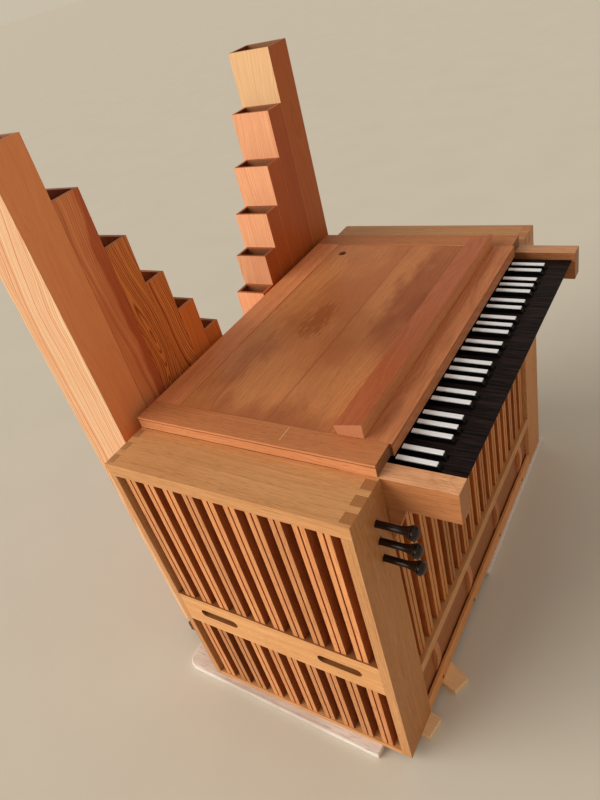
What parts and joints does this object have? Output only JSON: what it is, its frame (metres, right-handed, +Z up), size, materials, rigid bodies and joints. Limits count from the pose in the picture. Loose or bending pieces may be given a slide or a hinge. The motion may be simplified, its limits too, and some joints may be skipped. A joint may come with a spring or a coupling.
{
  "type": "chest organ",
  "caption": "Small portable pipe organ: oak chest with slatted ends, keyboard, panelled lid, stop knobs and stopped wooden bass pipes behind it.",
  "frame": {"origin": "on the floor, in the middle of the case front", "axes": "+Z up, +X to the treble side, +Y to the back"},
  "size_m": [1.0633, 0.789, 1.266],
  "materials": {
    "case_oak": "satin varnished oak",
    "slat_oak": "satin varnished oak slats",
    "lid_oak": "satin varnished oak",
    "lid_panel_oak": "satin varnished oak panel",
    "pine_pipe": "varnished pine",
    "pale_wood": "plain wood",
    "base_board": "pale raw board",
    "wedge_oak": "raw oak",
    "ebony": "oiled ebony",
    "black_sharp": "black polished",
    "bone": "white bone",
    "knob_wood": "dark polished turned wood",
    "inner_wood": "unlit inner wood"
  },
  "bodies": {
    "case": {"end_tops": "case_oak", "end_fronts": "case_oak", "end_backs": "case_oak", "end_bottoms": "case_oak", "end_inner_panels": "inner_wood", "hand_rails": "case_oak", "end_slats": "slat_oak", "cheeks": "case_oak", "key_bed": "inner_wood", "key_levers": "pale_wood", "natural_covers": "ebony", "sharp_keys": "black_sharp", "sharp_tops": "bone", "front_grille": "slat_oak", "grille_back": "inner_wood", "shelf_rail": "case_oak", "niche_brackets": "case_oak", "bottom_rail": "case_oak", "case_floor": "inner_wood", "case_back": "case_oak", "pipe_rack": "inner_wood", "pipe_toe_board": "inner_wood", "base_boards": "base_board", "wedges": "wedge_oak", "pipe_c": "pine_pipe", "pipe_d_natural": "pine_pipe", "pipe_e": "pine_pipe", "pipe_f_sharp": "pine_pipe", "pipe_g_sharp": "pine_pipe", "pipe_a_sharp": "pine_pipe", "pipe_c_sharp": "pine_pipe", "pipe_d_sharp": "pine_pipe", "pipe_f": "pine_pipe", "pipe_g": "pine_pipe", "pipe_a": "pine_pipe", "pipe_b": "pine_pipe", "stoppers": "pale_wood"},
    "stop_1": {"stop_knob_1": "knob_wood"},
    "stop_2": {"stop_knob_2": "knob_wood"},
    "stop_3": {"stop_knob_3": "knob_wood"},
    "lid": {"lid_stiles": "lid_oak", "lid_rails": "lid_oak", "lid_panel": "lid_panel_oak", "music_ledge": "lid_oak"}
  },
  "joints": [
    {"name": "stop_1_slide", "type": "slide", "parent": "case", "child": "stop_1", "axis": [0, 1, 0], "range_m": [0, 0.025]},
    {"name": "stop_2_slide", "type": "slide", "parent": "case", "child": "stop_2", "axis": [0, 1, 0], "range_m": [0, 0.025]},
    {"name": "stop_3_slide", "type": "slide", "parent": "case", "child": "stop_3", "axis": [0, 1, 0], "range_m": [0, 0.025]},
    {"name": "lid_lift", "type": "slide", "parent": "case", "child": "lid", "axis": [0, 0, 1], "range_m": [0, 0.25]}
  ]
}
